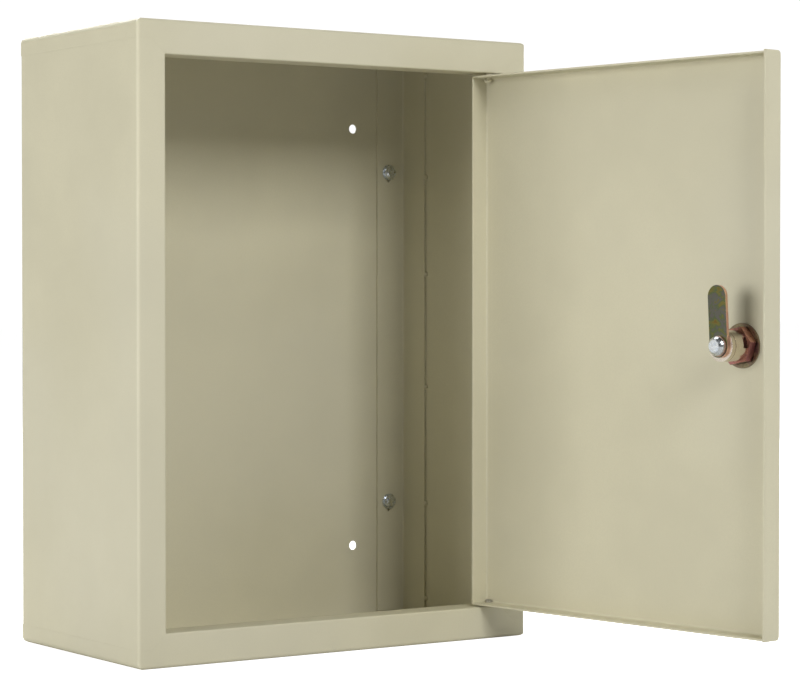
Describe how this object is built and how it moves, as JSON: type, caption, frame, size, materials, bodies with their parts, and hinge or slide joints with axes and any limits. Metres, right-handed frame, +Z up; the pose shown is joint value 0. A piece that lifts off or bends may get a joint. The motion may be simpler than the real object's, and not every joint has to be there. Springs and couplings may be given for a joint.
{
  "type": "wall enclosure",
  "caption": "Folded sheet-steel wall box with a recessed back panel, mounting rails, an inset side-hinged door and a quarter-turn cam lock.",
  "frame": {"origin": "centre of the four wall holes, on the rear face of the back panel", "axes": "-Y is the front, where the door is; +Y points to the wall; +Z is up; +X is the hinge side, right when seen from the front"},
  "size_m": [0.3074, 0.4026, 0.4],
  "materials": {
    "paint": "fine-textured satin powder coat, warm light grey",
    "door_paint": "fine-textured satin powder coat, warm light grey",
    "zinc": "bright bluish zinc plate",
    "nickel": "satin nickel plate on die-cast zinc",
    "chromate_nut": "iridescent yellow zinc chromate",
    "chromate_cam": "iridescent yellow zinc chromate",
    "steel": "plain steel",
    "brass": "stamped brass"
  },
  "bodies": {
    "cabinet": {"top_sheet": "paint", "bottom_sheet": "paint", "left_side": "paint", "right_side": "paint", "back_panel": "paint", "rail_left": "paint", "rail_right": "paint", "rail_welds": "paint", "panel_screws": "zinc", "panel_washers": "zinc", "panel_nuts": "zinc", "hinge_washer_bottom": "steel"},
    "door": {"door_panel": "door_paint", "hinge_pin_top": "paint", "hinge_pin_bottom": "steel", "hinge_washer_top": "steel", "lock_body": "nickel", "lock_nut": "chromate_nut", "nut_washer": "chromate_cam"},
    "lock_rotor": {"lock_plug": "nickel", "lock_wafers": "brass", "wafer_springs": "steel", "stop_washer": "nickel", "lock_cam": "chromate_cam", "cam_washer": "chromate_nut", "cam_screw": "zinc"}
  },
  "joints": [
    {"name": "door_hinge", "type": "hinge", "parent": "cabinet", "child": "door", "pos_m": [0.1205, -0.14055, 0], "axis": [0, 0, 1], "range_deg": [-98, 22]},
    {"name": "lock_turn", "type": "hinge", "parent": "door", "child": "lock_rotor", "pos_m": [0.15461, -0.35701, -0.00045], "axis": [0.9903, 0.1392, 0], "range_deg": [0, 90]}
  ]
}
